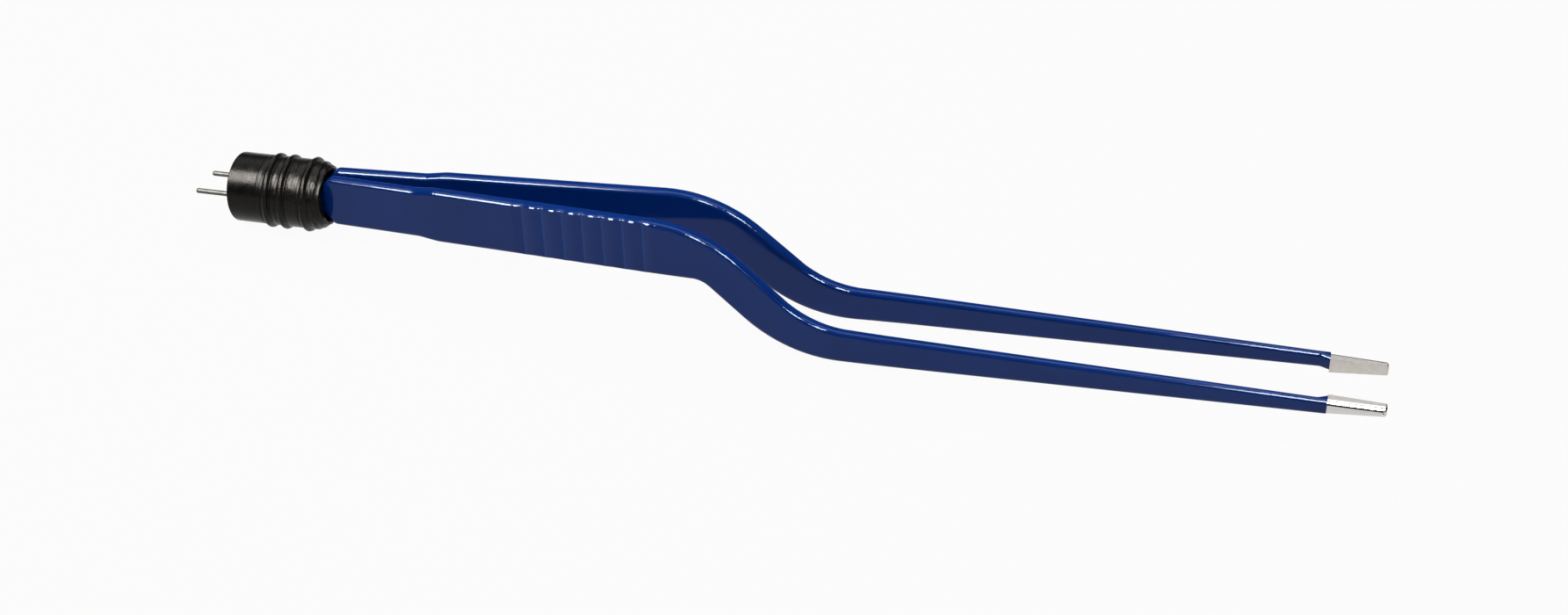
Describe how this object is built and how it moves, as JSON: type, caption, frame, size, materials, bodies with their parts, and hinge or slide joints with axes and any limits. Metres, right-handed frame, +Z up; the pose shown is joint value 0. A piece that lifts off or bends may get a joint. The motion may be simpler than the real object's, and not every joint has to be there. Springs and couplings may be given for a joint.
{
  "type": "bipolar forceps",
  "caption": "Bayonet bipolar forceps: sprung, insulated blades with scalloped grips and bare tips, held in a round plug with contact pins.",
  "frame": {"origin": "centre of the forceps' footprint, on the surface that they rest on", "axes": "+Z up; +X towards the tips, along the length; +Y across, the way that the left blade opens"},
  "size_m": [0.2308, 0.017, 0.0216],
  "materials": {
    "plug_plastic": "black",
    "boot_rubber": "black, semi-gloss",
    "spacer_plastic": "natural",
    "pin_metal": "drawn",
    "terminal_brass": "plain",
    "bare_steel": "satin, polished outside",
    "blue_coating": "gloss"
  },
  "bodies": {
    "plug": {"connector_body": "plug_plastic", "strain_boot": "boot_rubber", "blade_spacer": "spacer_plastic", "left_pin": "pin_metal", "right_pin": "pin_metal", "left_terminal": "terminal_brass", "right_terminal": "terminal_brass"},
    "left_arm": {"left_blade": "bare_steel", "left_insulation": "blue_coating"},
    "right_arm": {"right_blade": "bare_steel", "right_insulation": "blue_coating"}
  },
  "joints": [
    {"name": "left_blade_flex", "type": "hinge", "parent": "plug", "child": "left_arm", "pos_m": [-0.0892, 0.00157, 0.00854], "axis": [0.0965, 0, -0.9953], "range_deg": [0, 1.62], "stiffness_Nm_per_rad": 2.6},
    {"name": "right_blade_flex", "type": "hinge", "parent": "plug", "child": "right_arm", "pos_m": [-0.0892, -0.00157, 0.00854], "axis": [-0.0965, 0, 0.9953], "range_deg": [0, 1.62], "stiffness_Nm_per_rad": 2.6}
  ]
}
